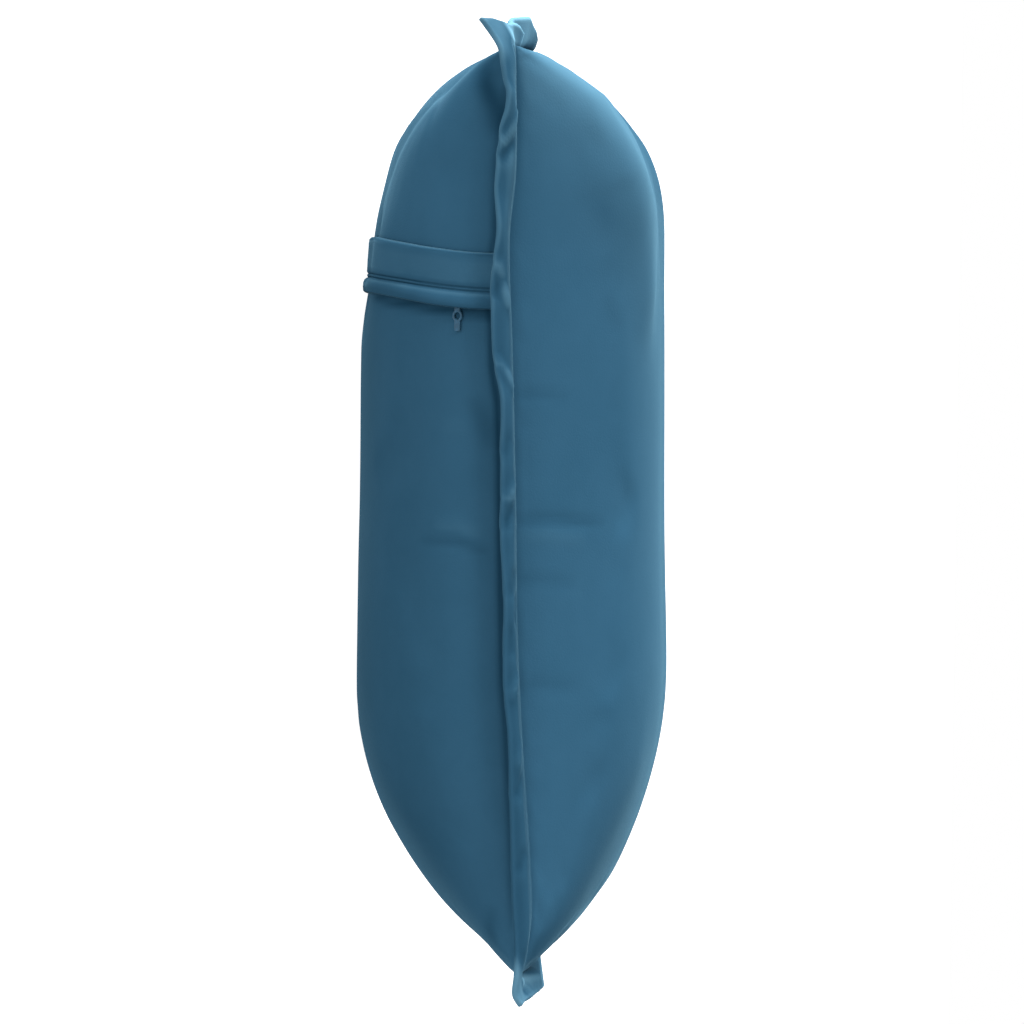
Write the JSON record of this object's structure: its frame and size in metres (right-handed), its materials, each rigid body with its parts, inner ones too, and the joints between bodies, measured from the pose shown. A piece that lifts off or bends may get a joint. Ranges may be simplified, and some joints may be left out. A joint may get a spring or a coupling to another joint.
{
  "type": "back cushion",
  "caption": "Square filled velvet scatter cushion, lying on its back, with a topstitched flange, pointed ears and a flap over the zip across its back.",
  "frame": {"origin": "on the surface the cushion lies on, under the middle of its box", "axes": "+Z out of the front panel, +Y to the cushion's top edge, +X to the far side; the side at -X is the one the picture shows"},
  "size_m": [0.4268, 0.4254, 0.1316],
  "materials": {
    "velvet": "short-pile petrol blue velvet, matt, with a bright rim where it turns away",
    "flange_velvet": "the same velvet doubled, slightly worn and lighter along the folded edge",
    "flap_velvet": "the same velvet folded double and topstitched",
    "puller_enamel": "dark blue enamelled zip puller"
  },
  "bodies": {
    "root": {"cushion": "velvet", "flange": "flange_velvet", "zip_flap": "flap_velvet", "zip_puller": "puller_enamel"}
  },
  "joints": []
}
